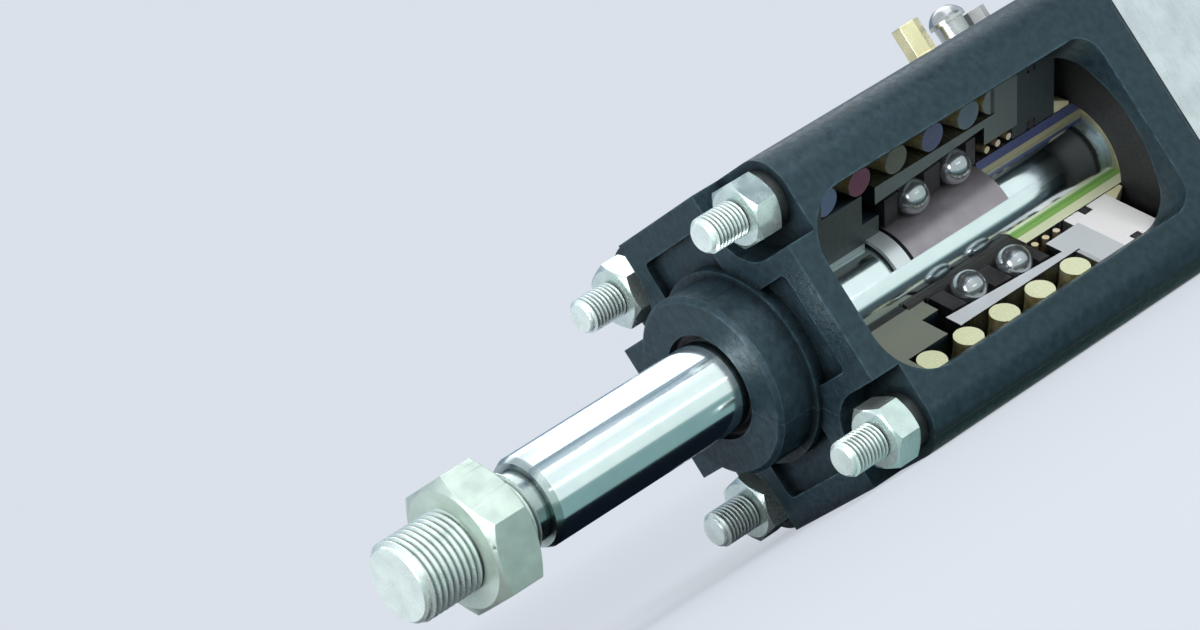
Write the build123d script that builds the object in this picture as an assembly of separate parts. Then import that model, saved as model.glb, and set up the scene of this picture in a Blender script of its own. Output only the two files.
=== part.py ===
from build123d import *
import os
from math import cos, pi, radians, sin, tan

# Locking pneumatic cylinder, bore 50, rod 20, shown as a cutaway unit. Sizes are in millimetres.
# The X axis is the cylinder's axis: the rod end points to -X and the head end to +X.
# The origin is the centre of the front mounting face. The cutaway is on the near side, -Y, and +Z is up.

# Fits, as radial clearances
seat_gap = 0.02
running_gap = 0.05
loose_gap = 0.3

# Piston rod
rod_r = 10.0
rod_shoulder_x = -60.8
rod_thread_r = 9.0
rod_pitch_r = 8.5
rod_thread_len = 30.0
rod_neck_len = 3.7
rod_neck_r = 7.8
rod_shoulder_chamfer = 1.5
rod_tip_chamfer = 1.2
rod_nut_af = 27.0
rod_nut_height = 11.0
rod_nut_from_shoulder = 9.4
rod_spigot_r = 8.0

# Travel of the rod from the pose that is modelled
stroke = 100.0
out_at_rest = 38.0
end_clearance = 0.5

# Brake shoe, its holder and the ball wedge round it
shoe_wall = 0.9
shoe_inset = 0.4
collar_wall = 1.9
cone_wall = 2.0
holder_ring_len = 1.1
holder_ring_inset = 0.15
taper_angle = 4.0
ball_r = 3.97
ball_gap = 0.05
ball_step = 30.0
taper_ring_wall = 1.846

# Brake spring and the chamber round it
wire_r = 3.25
spring_gap = 0.4
taper_spring_gap = 0.4
closed_pitch = 6.7
spring_grind = 0.15
last_turn_lead = 4.2
open_turns = 4
front_tail_turns = 0.55
cover_wall = 3.7

# Tie rods and their fasteners
tie_wall = 1.87
tie_thread_r = 4.0
tie_shank_r = 3.67
tie_hole_gap = 0.1
tie_stud_out = 10.7
tie_chamfer = 1.0
nut_af = 13.0
nut_height = 6.5
washer_r = 6.4
washer_height = 2.1
washer_slit = 1.2
nut_proud = 1.0
notch_r = 10.3

# Front of the lock cover
boss_r = 20.0
boss_len = 10.2
boss_chamfer = 1.0
boss_foot_wall = 1.7
boss_foot_len = 1.2
boss_hole_gap = 1.75
pocket_margin = 6.2
pocket_side_margin = 4.4
pocket_depth = 2.0
pocket_corner_r = 1.5
wiper_inset = 2.0
wiper_len = 3.4
wiper_wall = 3.8
front_seal_from_wiper = 2.3
front_seal_len = 4.5
front_seal_wall = 4.2
bush_from_seal = 3.0
bush_wall = 1.35

# Lengths along the lock, from the front face back
front_wall = 23.5
spigot_len = 12.0
nose_len = 5.0
nose_wall = 4.3
nose_socket_depth = 4.2
holder_in_socket = 3.8
collar_proud = 0.5
taper_over_nose = 1.0
retainer_from_nose = 1.8
first_row_from_nose = 9.9
row_spacing = 13.0
holder_behind_row = 6.8
retainer_behind_row = 6.9
hub_behind_row = 9.8
hub_len = 3.2
flange_len = 7.2
release_len = 11.9
release_room = 5.4
bumper_len = 1.5
cover_over_flange = 2.0

# Window cut in the near side
window_x0 = 6.0
window_rear_margin = 9.4
window_rib = 0.8
window_front_r = 13.0
window_rear_r = 6.0

# Taper ring and spring seat
hub_wall = 3.2
flange_gap = 0.9
spring_seat_len = 1.2

# Release piston
release_skirt_gap = 0.3
release_spigot_len = 1.4
seal_from_flange = 4.5
seal_ring_r = 1.15
seal_groove_len = 2.7
hub_bumper_len = 4.8
hub_bumper_foot = 3.1
hub_bumper_tip = 0.9

# Ball retainer and its preload spring
retainer_skin_gap = 0.7
pocket_gap = 0.12
preload_wire_r = 0.8
preload_turns = 3

# Piston guide
guide_wall = 2.53
guide_from_holder = 0.4
guide_in_cover = 5.1
guide_bush_wall = 1.4
guide_bush_inset = 1.0

# Fittings on top of the lock cover
cam_inset = 3.0
cam_shaft_r = 4.0
cam_lobe_r = 2.2
cam_throw = 1.5
cam_lobe_len = 5.65
cam_collar_r = 4.4
cam_collar_len = 1.0
cam_counterbore = 2.3
cam_stem_r = 3.55
cam_cap_r = 4.3
cam_cap_height = 4.1
cam_cap_rim = 0.8
cam_dome_height = 3.0
cam_key_af = 3.0
cam_key_depth = 1.8
cam_ring_len = 0.8
cam_washer_r = 4.6
cam_washer_len = 0.8
cam_gasket_r = 0.45
cam_notch_gap = 0.5
breather_to_washer = 1.7
breather_af = 5.8
breather_foot_r = 4.2
breather_foot_len = 0.9
breather_hex_len = 7.6
breather_thread_r = 2.5
breather_element_r = 2.0
breather_element_depth = 1.6
plug_to_washer = 0.2
plug_af = 5.0
plug_head_len = 3.7
plug_thread_r = 2.1
plug_key_af = 2.5
plug_key_depth = 2.0

# Intermediate cover
flange_gasket_len = 0.5
flange_gasket_inset = 0.4
inter_len = 23.0
tube_spigot_len = 7.0
inner_seal_from_guide = 0.7
inner_seal_len = 4.4
rod_pass_gap = 0.4
pocket_from_seal = 3.9
cushion_gap = 0.5
cushion_seal_len = 3.6
cushion_seal_wall = 2.4
cushion_seal_inset = 2.6

# Cylinder tube, head cover and their ports
bore_r = 25.0
tube_wall = 2.5
tube_gasket_r = 0.93
head_len = 27.0
head_pocket_len = 17.0
port_r = 5.6
port_depth = 11.0
port_drill_r = 3.0
port_in_pocket = 1.5
head_port_inset = 1.9
needle_r = 2.4
needle_len = 11.0
needle_y = 15.0
needle_slot = 0.7
needle_ring_len = 0.8
needle_ring_wall = 1.2

# Piston
piston_len = 20.0
piston_side_gap = 0.2
piston_seal_x = 7.0
piston_seal_len = 4.5
piston_seal_depth = 3.8
wear_x = 14.0
wear_len = 4.0
wear_depth = 1.8
cushion_ring_len = 14.0
cushion_ring_wall = 2.9
rear_ring_wall = 3.8
rod_gasket_r = 0.6

# Places along the lock
chamber_x = front_wall
spigot_end = chamber_x + spigot_len
nose_end = spigot_end + nose_len
taper_front = nose_end - taper_over_nose
holder_front = nose_end - holder_in_socket
collar_end = nose_end + collar_proud
retainer_front = nose_end + retainer_from_nose
ball_row_front = nose_end + first_row_from_nose
ball_row_rear = ball_row_front + row_spacing
holder_rear = ball_row_rear + holder_behind_row
retainer_rear = ball_row_rear + retainer_behind_row
hub_x = ball_row_rear + hub_behind_row
flange_x = hub_x + hub_len
flange_rear = flange_x + flange_len
release_rear = flange_rear + release_len
bumper_x = release_rear + release_room
inter_front = bumper_x + bumper_len
lock_len = inter_front + cover_over_flange
guide_front = holder_rear + guide_from_holder
guide_rear = lock_len + guide_in_cover
spring_rear = flange_x - spring_seat_len
seal_x = flange_rear + seal_from_flange
wiper_x = wiper_inset - boss_len
front_seal_x = wiper_x + wiper_len + front_seal_from_wiper
bush_x = front_seal_x + front_seal_len + bush_from_seal
window_x1 = lock_len - window_rear_margin

# Radii of the lock, from the rod outwards
shoe_r = rod_r + running_gap + shoe_wall
collar_r = rod_r + collar_wall
nose_socket_r = collar_r + 2 * running_gap
nose_r = nose_socket_r + nose_wall
holder_r_at_front_row = rod_r + cone_wall
slope = tan(radians(taper_angle))
ball_reach = (ball_r + ball_gap) / cos(radians(taper_angle))
ball_row_r = holder_r_at_front_row + ball_reach
taper_r = ball_row_r + (hub_x - ball_row_front) * slope + ball_reach + taper_ring_wall
spring_r = taper_r + taper_spring_gap + wire_r
chamber_r = spring_r + wire_r + spring_gap
half = chamber_r + cover_wall
body_size = half * 2
flange_r = chamber_r - flange_gap
release_r = chamber_r - release_skirt_gap
bush_r = rod_r + running_gap + bush_wall
guide_bush_r = rod_r + running_gap + guide_bush_wall
guide_r = guide_bush_r + seat_gap + guide_wall
release_hole_r = guide_r + release_skirt_gap
hub_r = guide_r + hub_wall
preload_r = guide_r + hub_wall / 2
boss_hole_r = rod_r + boss_hole_gap
wiper_r = rod_r + wiper_wall
front_seal_r = rod_r + front_seal_wall
boss_foot_r = boss_r + boss_foot_wall
pocket_outer = half - pocket_margin

# Tie rods, their recesses and the window between them
tie_hole_r = tie_thread_r + tie_hole_gap
tie_at = (chamber_r + tie_wall + tie_hole_r) * sin(pi / 4)
column_r = half - tie_at
notch_side = tie_at - notch_r
notch_depth = nut_height + washer_height - nut_proud
pocket_half_width = notch_side - pocket_side_margin
window_half = tie_at - tie_hole_r - window_rib
nut_x = notch_depth - washer_height

# Places of the spring's turns
first_turn_x = chamber_x + wire_r - spring_grind
open_pitch = (spring_rear - last_turn_lead - first_turn_x) / open_turns

# Places of the top fittings
cam_x = release_rear - cam_inset
breather_x = cam_x - cam_washer_r - breather_to_washer - breather_foot_r
plug_x = cam_x + cam_washer_r + plug_to_washer + plug_af / 2
cam_lobe_bottom = chamber_r + running_gap - cam_lobe_len
cam_cap_z = half + cam_cap_height

# Places behind the lock
inter_face = lock_len + flange_gasket_len
tube_front = inter_face + inter_len
tube_spigot_end = tube_front + tube_spigot_len
inner_seal_x = guide_rear + inner_seal_from_guide
cushion_pocket_front = inner_seal_x + inner_seal_len + pocket_from_seal
piston_front = tube_spigot_end + end_clearance + stroke - out_at_rest
piston_rear = piston_front + piston_len
head_spigot_x = piston_rear + out_at_rest + end_clearance
tube_rear = head_spigot_x + tube_spigot_len
head_rear = tube_rear + head_len
rear_nut_x = head_rear - nut_x
front_port_x = cushion_pocket_front + port_in_pocket
head_port_x = head_spigot_x + head_pocket_len - head_port_inset
rod_pass_r = rod_r + rod_pass_gap
front_ring_r = rod_r + cushion_ring_wall
rear_ring_r = rod_spigot_r + rear_ring_wall
tube_spigot_r = bore_r - seat_gap
rod_nut_x = rod_shoulder_x - rod_nut_from_shoulder - rod_nut_height

OUT = "parts"
os.makedirs(OUT, exist_ok=True)


def put(node, *solids):
    """Write one node, made of one or more separate solids."""
    shape = solids[0] if len(solids) == 1 else Compound(children=list(solids))
    shape.label = node
    export_step(shape, f"{OUT}/{node}.step")


def turned(*profile):
    """A solid turned about the X axis from its (x, radius) corners."""
    return revolve(make_face(Polyline(*profile, close=True)), Axis.X, 360)


def ring(x0, x1, r_out, r_in=0.0):
    return turned((x0, r_in), (x1, r_in), (x1, r_out), (x0, r_out))


def rounded_ring(x, r_centre, r_section):
    """An O-ring about the X axis."""
    section = Pos(x, r_centre) * Circle(r_section)
    return revolve(section, Axis.X, 360)


def prism_x(sketch, x0, x1):
    """A sketch drawn in Y and Z, run along X."""
    return extrude(Plane.YZ.offset(x0) * sketch, x1 - x0, dir=(1, 0, 0))


def post(x, y, z0, z1, r):
    """An upright round post."""
    return Pos(x, y, (z0 + z1) / 2) * Cylinder(r, z1 - z0)


def hexagon(across_flats, turn=0.0):
    return Rot(0, 0, turn) * RegularPolygon(across_flats / 2, 6, major_radius=False)


def wedge(x0, x1, low=-1.0, high=1.0):
    """The near-side wedge that the cutaway takes out, between two planes through the axis."""
    reach = body_size
    corners = [(0, 0), (-reach, high * reach), (-reach, low * reach)]
    return prism_x(Polygon(*corners, align=None), x0, x1)


def opened(solid):
    """A piece of the lock cut open like its cover."""
    return solid - wedge(0, lock_len)


def at_ties(solid, turns=(0, 0, 0, 0)):
    """Copies of a solid on the X axis, moved to the four tie rods, each with its own turn."""
    corners = [(-1, 1), (1, 1), (-1, -1), (1, -1)]
    return [Pos(0, y * tie_at, z * tie_at) * Rot(turn, 0, 0) * solid
            for (y, z), turn in zip(corners, turns)]


def body_block(x0, x1, inset=0.0):
    """The square body, with columns round the tie rods."""
    side = body_size - 2 * inset
    return prism_x(RectangleRounded(side, side, column_r - inset), x0, x1)


def hex_nut(x0, x1, across_flats, hole_r):
    """A hexagon nut on the X axis, chamfered at both faces."""
    corner = across_flats / 2 / cos(pi / 6)
    flat = across_flats / 2 * 0.95
    slant = (corner - flat) * tan(radians(30))
    envelope = turned((x0, hole_r), (x0, flat), (x0 + slant, corner),
                      (x1 - slant, corner), (x1, flat), (x1, hole_r))
    return prism_x(hexagon(across_flats), x0, x1) & envelope


def tie_holes(x0, x1):
    return at_ties(ring(x0, x1, tie_hole_r))


def corner_notches(x0, x1):
    """The four corner recesses for the tie-rod nuts."""
    cut = half - notch_side
    square = RectangleRounded(cut * 2, cut * 2, notch_r)
    centres = [(sy * half, sz * half) for sy in (-1, 1) for sz in (-1, 1)]
    return [prism_x(Pos(y, z) * square, x0, x1) for y, z in centres]


def window():
    """The opening milled through the near side of the lock cover."""
    front = Pos(window_x0 + window_front_r, 0) * window_end(window_front_r)
    rear = Pos(window_x1 - window_rear_r, 0) * window_end(window_rear_r)
    outline = make_hull(front.edges() + rear.edges())
    hole = extrude(Plane.XZ * outline, half + 1)
    return hole & wedge(window_x0, window_x1)


def window_end(corner_r):
    """Two corner circles at one end of the window, joined to one face."""
    edge = window_half - corner_r
    return SlotCenterToCenter(edge * 2, corner_r * 2, rotation=90)


def arm_pockets():
    """Shallow pockets in the four arms round the boss."""
    side = pocket_half_width * 2
    reach = pocket_outer
    pad = Pos(0, reach / 2) * RectangleRounded(side, reach, pocket_corner_r)
    cross = [Rot(0, 0, quarter * 90) * pad for quarter in range(4)]
    flat = Sketch() + cross - Circle(boss_foot_r)
    return prism_x(flat, 0, pocket_depth)


def lock_cover():
    """Die-cast front cover: boss, spring chamber and inner spigot in one piece."""
    solid = body_block(0, lock_len)
    solid += ring(-boss_foot_len, pocket_depth, boss_foot_r)
    solid -= arm_pockets()
    solid += turned((0, 0), (-boss_len, 0), (-boss_len, boss_r - boss_chamfer),
                    (-boss_len + boss_chamfer, boss_r), (0, boss_r))
    chamber = turned((chamber_x, taper_r), (chamber_x, chamber_r), (lock_len, chamber_r), (lock_len, 0),
                     (nose_end, 0), (nose_end, nose_r), (spigot_end, nose_r), (spigot_end, taper_r))
    rod_bore = turned((-boss_len, 0), (-boss_len, boss_hole_r), (wiper_x, boss_hole_r), (wiper_x, wiper_r),
                      (wiper_x + wiper_len, wiper_r), (wiper_x + wiper_len, boss_hole_r),
                      (front_seal_x, boss_hole_r), (front_seal_x, front_seal_r),
                      (front_seal_x + front_seal_len, front_seal_r), (front_seal_x + front_seal_len, bush_r),
                      (nose_end - nose_socket_depth, bush_r), (nose_end - nose_socket_depth, nose_socket_r),
                      (nose_end, nose_socket_r), (nose_end, 0))
    solid -= chamber
    solid -= rod_bore
    solid -= corner_notches(0, notch_depth)
    solid -= tie_holes(0, lock_len)
    solid -= window()
    solid -= post(breather_x, 0, spring_r, half, breather_thread_r + seat_gap)
    solid -= post(plug_x, 0, spring_r, half, plug_thread_r + seat_gap)
    solid -= post(cam_x, 0, spring_r, half, cam_shaft_r + running_gap)
    solid -= post(cam_x, 0, half - cam_counterbore, half, cam_collar_r + loose_gap / 2)
    return solid


def brake_spring():
    """Round-wire spring with closed, ground ends. The cutaway leaves three quarters of each turn."""
    def run(x_start, pitch, start_turn, turns):
        spare = 0.02
        start = radians(225) + 2 * pi * (start_turn - spare)
        path = Helix(pitch, pitch * (turns + 2 * spare), spring_r)
        wire = sweep(Plane(path @ 0, z_dir=path % 0) * Circle(wire_r), path=path, is_frenet=True)
        place = Plane((x_start - pitch * spare, 0, 0), x_dir=(0, cos(start), sin(start)), z_dir=(1, 0, 0))
        return opened(place.location * wire)
    limit = ring(chamber_x, spring_rear, chamber_r)
    tail_x = first_turn_x - closed_pitch * (0.25 + front_tail_turns)
    turns = [run(tail_x, closed_pitch, 0.75 - front_tail_turns, front_tail_turns)]
    turns += [run(first_turn_x + k * open_pitch, open_pitch, 0, 0.75) for k in range(open_turns)]
    turns.append(run(first_turn_x + open_turns * open_pitch, closed_pitch, 0, 0.75))
    return [piece for turn in turns for piece in (turn & limit).solids()]


def ball_angles():
    count = round(270 / ball_step) + 1
    return [225 + ball_step * k for k in range(count)]


def row_radius(x):
    """Height of the ball centres at x: the two cones that guide them are parallel."""
    return ball_row_r + (x - ball_row_front) * slope


def ball_row(x):
    balls = []
    for angle in ball_angles():
        a = radians(angle)
        balls.append(Pos(x, row_radius(x) * cos(a), row_radius(x) * sin(a)) * Sphere(ball_r))
    return balls


def ball_retainer():
    """Cage between the two cones, with a drilled pocket for each ball."""
    inner, outer = [(row_radius(retainer_front) + side, row_radius(retainer_rear) + side)
                    for side in (retainer_skin_gap - ball_reach, ball_reach - retainer_skin_gap)]
    cage = turned((retainer_front, inner[0]), (retainer_rear, inner[1]),
                  (retainer_rear, outer[1]), (retainer_front, outer[0]))
    bottom = rod_r
    top = taper_r
    for x in (ball_row_front, ball_row_rear):
        drill = Pos(x, 0, (bottom + top) / 2) * Cylinder(ball_r + pocket_gap, top - bottom)
        cage -= [Rot(angle - 90, 0, 0) * drill for angle in ball_angles()]
    return opened(cage)


def taper_ring():
    def bore(x):
        return row_radius(x) + ball_reach
    return opened(turned((taper_front, bore(taper_front)), (hub_x, bore(hub_x)), (hub_x, hub_r),
                         (flange_rear, hub_r), (flange_rear, flange_r), (flange_x, flange_r),
                         (flange_x, taper_r), (taper_front, taper_r)))


def release_piston():
    """Disc piston with a seal groove at its rim, one at its hole, and a notch for the cam's lobe."""
    x0 = flange_rear
    solid = ring(x0, release_rear, release_r, release_hole_r)
    solid += ring(x0 - release_spigot_len, x0, hub_r - seat_gap, release_hole_r)
    groove = (seal_x - seal_groove_len / 2, seal_x + seal_groove_len / 2)
    depth = 2 * seal_ring_r
    solid -= ring(*groove, release_r + depth, chamber_r - depth - running_gap)
    solid -= ring(*groove, guide_r + depth + running_gap, rod_r)
    wall = cam_x + cam_throw - cam_lobe_r - cam_notch_gap
    notch_half = cam_lobe_r + cam_throw + cam_notch_gap
    floor = cam_lobe_bottom - cam_notch_gap
    solid -= Pos(wall, 0, floor) * Box(half, notch_half * 2, half, align=(Align.MIN, Align.CENTER, Align.MIN))
    return opened(solid)


def brake_shoe_holder():
    def cone(x):
        return holder_r_at_front_row + (x - ball_row_front) * slope
    ring_end = collar_end + holder_ring_len
    groove_r = shoe_r + loose_gap + seat_gap
    sleeve = turned((holder_front, shoe_r + seat_gap), (holder_front, collar_r), (collar_end, collar_r),
                    (collar_end, groove_r), (ring_end, groove_r), (ring_end, cone(ring_end)),
                    (holder_rear, cone(holder_rear)), (holder_rear, shoe_r + seat_gap))
    return sleeve - shoe_wedge()


def shoe_wedge():
    """The brake shoe and its holder are cut open over the lower half of the window only."""
    return wedge(0, lock_len, high=0)


def intermediate_cover():
    """Aluminium block between the lock and the tube: guide socket, rod seal, port and cushion pocket."""
    x0, x1 = inter_front, tube_spigot_end
    pocket_r = front_ring_r + cushion_gap
    solid = body_block(inter_face, tube_front)
    solid += ring(x0, inter_face, chamber_r - running_gap)
    solid += ring(tube_front, x1, tube_spigot_r)
    seal_end = inner_seal_x + inner_seal_len
    solid -= turned((x0, 0), (x0, guide_r + seat_gap), (inner_seal_x, guide_r + seat_gap), (seal_end, guide_r + seat_gap),
                    (seal_end, rod_pass_r), (cushion_pocket_front, rod_pass_r), (cushion_pocket_front, pocket_r),
                    (x1, pocket_r), (x1, 0))
    solid -= cushion_groove(x1 - cushion_seal_inset - cushion_seal_len, pocket_r)
    solid -= tie_holes(inter_face, tube_front)
    solid -= tube_gasket_groove(tube_front)
    solid -= port_hole(front_port_x, pocket_r)
    solid -= needle_hole(front_port_x)
    return solid


def cushion_groove(x, pocket_r):
    return ring(x, x + cushion_seal_len, pocket_r + cushion_seal_wall, pocket_r - cushion_gap)


def tube_gasket_groove(x):
    """Groove for the O-ring, half way along a spigot."""
    centre = x + tube_spigot_len / 2 * (1 if x < piston_front else -1)
    width = tube_gasket_r * 1.3
    return ring(centre - width, centre + width, bore_r + 1, bore_r - tube_gasket_r * 2 - running_gap)


def port_hole(x, pocket_r):
    """Tapped pipe port on top, drilled through to the cushion pocket."""
    return post(x, 0, half - port_depth, half, port_r) + post(x, 0, pocket_r / 2, half - port_depth, port_drill_r)


def needle_hole(x):
    bore = post(x, needle_y, half - needle_len - 1, half, needle_r + running_gap)
    mouth = post(x, needle_y, half - needle_ring_len, half, needle_r + needle_ring_wall)
    return bore + mouth


def head_cover():
    x0 = head_spigot_x
    pocket_r = rear_ring_r + cushion_gap
    solid = body_block(tube_rear, head_rear)
    solid += ring(x0, tube_rear, tube_spigot_r)
    solid -= ring(x0, x0 + head_pocket_len, pocket_r)
    solid -= cushion_groove(x0 + cushion_seal_inset, pocket_r)
    solid -= corner_notches(head_rear - notch_depth, head_rear)
    solid -= tie_holes(tube_rear, head_rear)
    solid -= tube_gasket_groove(tube_rear)
    solid -= port_hole(head_port_x, pocket_r)
    solid -= needle_hole(head_port_x)
    return solid


def tie_rod():
    """Studs at the thread's outer radius; between the nuts' outer faces, a shank at its pitch radius."""
    x0, x1 = -tie_stud_out, head_rear + tie_stud_out
    n0, n1 = -nut_proud, head_rear + nut_proud
    r, root, chamfer = tie_thread_r, tie_shank_r, tie_chamfer
    return turned((x0, 0), (x0, r - chamfer), (x0 + chamfer, r), (n0, r), (n0, root), (n1, root), (n1, r),
                  (x1 - chamfer, r), (x1, r - chamfer), (x1, 0))


def spring_washer(x0, x1):
    solid = ring(x0, x1, washer_r, tie_thread_r + running_gap)
    slit = Pos((x0 + x1) / 2, washer_r, 0) * Rot(0, 0, 25) * Box(2 * washer_r, 2 * washer_r, washer_slit)
    return solid - slit


def piston_rod():
    """Plain rod with a threaded front end, drawn at the thread's pitch radius where the nut sits."""
    s = rod_shoulder_x
    tip = s - rod_neck_len - rod_thread_len - rod_shoulder_chamfer
    neck = s - rod_shoulder_chamfer
    end = piston_rear + cushion_ring_len - 2
    r, t, p = rod_r, rod_thread_r, rod_pitch_r
    n0, n1 = rod_nut_x, rod_nut_x + rod_nut_height
    return turned((tip, 0), (tip, t - rod_tip_chamfer), (tip + rod_tip_chamfer, t), (n0, t), (n0, p), (n1, p),
                  (n1, t), (neck - rod_neck_len, t), (neck - rod_neck_len, rod_neck_r), (neck, rod_neck_r),
                  (neck, r - rod_shoulder_chamfer / 2), (s, r), (piston_front, r),
                  (piston_front, rod_spigot_r), (end, rod_spigot_r), (end, 0))


def piston():
    x0 = piston_front
    r = bore_r - piston_side_gap
    solid = ring(x0, piston_rear, r, rod_spigot_r + seat_gap)
    solid -= ring(x0 + piston_seal_x, x0 + piston_seal_x + piston_seal_len, bore_r, r - piston_seal_depth)
    solid -= ring(x0 + wear_x, x0 + wear_x + wear_len, bore_r, r - wear_depth)
    solid -= ring(x0, x0 + 2 * rod_gasket_r, rod_spigot_r + 2 * rod_gasket_r, rod_spigot_r)
    return solid


def preload_spring():
    """Light spring that keeps the ball retainer against the balls."""
    length = flange_rear - release_spigot_len - retainer_rear - 2 * preload_wire_r
    pitch = length / preload_turns
    spare = 0.02
    start = radians(225) - 2 * pi * spare
    pieces = []
    for k in range(preload_turns):
        path = Helix(pitch, pitch * (0.75 + 2 * spare), preload_r)
        wire = sweep(Plane(path @ 0, z_dir=path % 0) * Circle(preload_wire_r), path=path, is_frenet=True)
        x = retainer_rear + preload_wire_r + (k + 0.125 - spare) * pitch
        place = Plane((x, 0, 0), x_dir=(0, cos(start), sin(start)), z_dir=(1, 0, 0))
        pieces += opened(place.location * wire).solids()
    return pieces


def unlocking_cam():
    """Cam shaft with an eccentric lobe below the wall and a domed, keyed cap above it."""
    wall = half - cam_counterbore
    groove_z = wall - 2 * cam_gasket_r - 0.3
    shaft_bottom = chamber_r + running_gap
    solid = post(cam_x + cam_throw, 0, cam_lobe_bottom, shaft_bottom + 1, cam_lobe_r)
    solid += post(cam_x, 0, shaft_bottom, wall, cam_shaft_r)
    solid += post(cam_x, 0, wall + running_gap, wall + cam_collar_len, cam_collar_r)
    solid += post(cam_x, 0, wall - 0.1, cam_cap_z + cam_cap_rim, cam_stem_r)
    solid += post(cam_x, 0, cam_cap_z, cam_cap_z + cam_cap_rim, cam_cap_r)
    dome_r = (cam_cap_r ** 2 + cam_dome_height ** 2) / (2 * cam_dome_height)
    dome_z = cam_cap_z + cam_cap_rim + cam_dome_height - dome_r
    cap = Pos(cam_x, 0, dome_z) * Sphere(dome_r)
    solid += cap & post(cam_x, 0, cam_cap_z + cam_cap_rim, dome_z + dome_r, cam_cap_r)
    key = extrude(Plane.XY.offset(dome_z + dome_r - cam_key_depth) * Pos(cam_x, 0) * hexagon(cam_key_af), cam_key_depth)
    solid -= key
    sleeve = post(cam_x, 0, groove_z, groove_z + 2 * cam_gasket_r, cam_shaft_r + 1)
    core = post(cam_x, 0, groove_z, groove_z + 2 * cam_gasket_r, cam_shaft_r - 2 * cam_gasket_r)
    return solid - (sleeve - core)


def cam_gasket():
    wall = half - cam_counterbore
    centre_r = cam_shaft_r + 0.02 - cam_gasket_r
    return Pos(cam_x, 0, wall - cam_gasket_r - 0.3) * Torus(centre_r, cam_gasket_r)


def cam_retaining_ring():
    z0 = half - cam_counterbore + cam_collar_len + 0.15
    ring_solid = post(cam_x, 0, z0, z0 + cam_ring_len, cam_collar_r + loose_gap / 2)
    ring_solid -= post(cam_x, 0, z0, z0 + cam_ring_len, cam_stem_r + running_gap * 2)
    return ring_solid - Pos(cam_x + cam_collar_r, 0, z0) * Box(2 * cam_collar_r - 2, 3, 4)


def breather_body():
    foot = post(breather_x, 0, half, half + breather_foot_len, breather_foot_r)
    stem = post(breather_x, 0, chamber_r + running_gap, half, breather_thread_r)
    top = half + breather_foot_len + breather_hex_len
    head = extrude(Plane.XY.offset(half + breather_foot_len) * Pos(breather_x, 0) * hexagon(breather_af, 30),
                   breather_hex_len)
    solid = foot + stem + head
    solid -= post(breather_x, 0, top - breather_element_depth, top, breather_element_r + seat_gap)
    return solid - post(breather_x, 0, chamber_r, top, breather_element_r / 2)


def release_port_plug():
    stem = post(plug_x, 0, chamber_r + running_gap, half, plug_thread_r)
    head = extrude(Plane.XY.offset(half) * Pos(plug_x, 0) * hexagon(plug_af, 30), plug_head_len)
    key = extrude(Plane.XY.offset(half + plug_head_len - plug_key_depth) * Pos(plug_x, 0) * hexagon(plug_key_af),
                  plug_key_depth)
    return stem + head - key


def cushion_needle(x):
    top = half - needle_ring_len - running_gap
    solid = post(x, needle_y, half - needle_len, top, needle_r)
    return solid - Pos(x, needle_y, top) * Box(needle_slot, 2 * needle_r, 2.4)


def needle_ring(x):
    z0 = half - needle_ring_len
    outer = post(x, needle_y, z0, half, needle_r + needle_ring_wall - seat_gap)
    return outer - post(x, needle_y, z0, half, needle_r - 0.8)


# Housing
put("lock_cover", lock_cover())
put("rod_wiper", turned((wiper_x + 0.1, rod_r + 1.0), (wiper_x + 0.1, wiper_r - 0.05),
                        (wiper_x + wiper_len - 0.1, wiper_r - 0.05), (wiper_x + wiper_len - 0.1, rod_r + running_gap),
                        (wiper_x + 1.4, rod_r + running_gap)))
put("front_rod_seal", ring(front_seal_x + 0.1, front_seal_x + front_seal_len - 0.1, front_seal_r - 0.05,
                           rod_r + running_gap))
put("rod_bushing", opened(ring(bush_x, nose_end - nose_socket_depth - 0.1, bush_r - seat_gap, rod_r + running_gap)))
put("brake_shoe_holder", brake_shoe_holder())
put("holder_ring", ring(collar_end + seat_gap, collar_end + holder_ring_len - seat_gap, collar_r - holder_ring_inset,
                        shoe_r + loose_gap + 2 * seat_gap) - shoe_wedge())
put("brake_shoe", ring(holder_front + shoe_inset, holder_rear - shoe_inset, shoe_r, rod_r + running_gap) - shoe_wedge())
put("piston_guide", opened(ring(guide_front, guide_rear, guide_r, guide_bush_r + seat_gap)))
put("guide_bushing", opened(ring(guide_front, guide_rear - guide_bush_inset, guide_bush_r, rod_r + running_gap)))
put("end_bumper", ring(bumper_x, inter_front, chamber_r - running_gap * 2, guide_r + loose_gap))
put("flange_gasket", body_block(lock_len, inter_face, flange_gasket_inset) - ring(lock_len, inter_face, chamber_r)
    - tie_holes(lock_len, inter_face))
put("intermediate_cover", intermediate_cover())
put("inner_rod_seal", ring(inner_seal_x + 0.1, inner_seal_x + inner_seal_len - 0.1, guide_r - seat_gap,
                           rod_r + running_gap))
put("cylinder_tube", ring(tube_front, tube_rear, bore_r + tube_wall, bore_r))
put("tube_gaskets", *[rounded_ring(x, bore_r - tube_gasket_r - seat_gap, tube_gasket_r)
                      for x in (tube_front + tube_spigot_len / 2, tube_rear - tube_spigot_len / 2)])
put("cushion_seals", *[ring(x + 0.1, x + cushion_seal_len - 0.1, r + cushion_gap + cushion_seal_wall - 0.05,
                            r + running_gap * 2)
                       for x, r in ((tube_spigot_end - cushion_seal_inset - cushion_seal_len, front_ring_r),
                                    (head_spigot_x + cushion_seal_inset, rear_ring_r))])
put("head_cover", head_cover())

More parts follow.
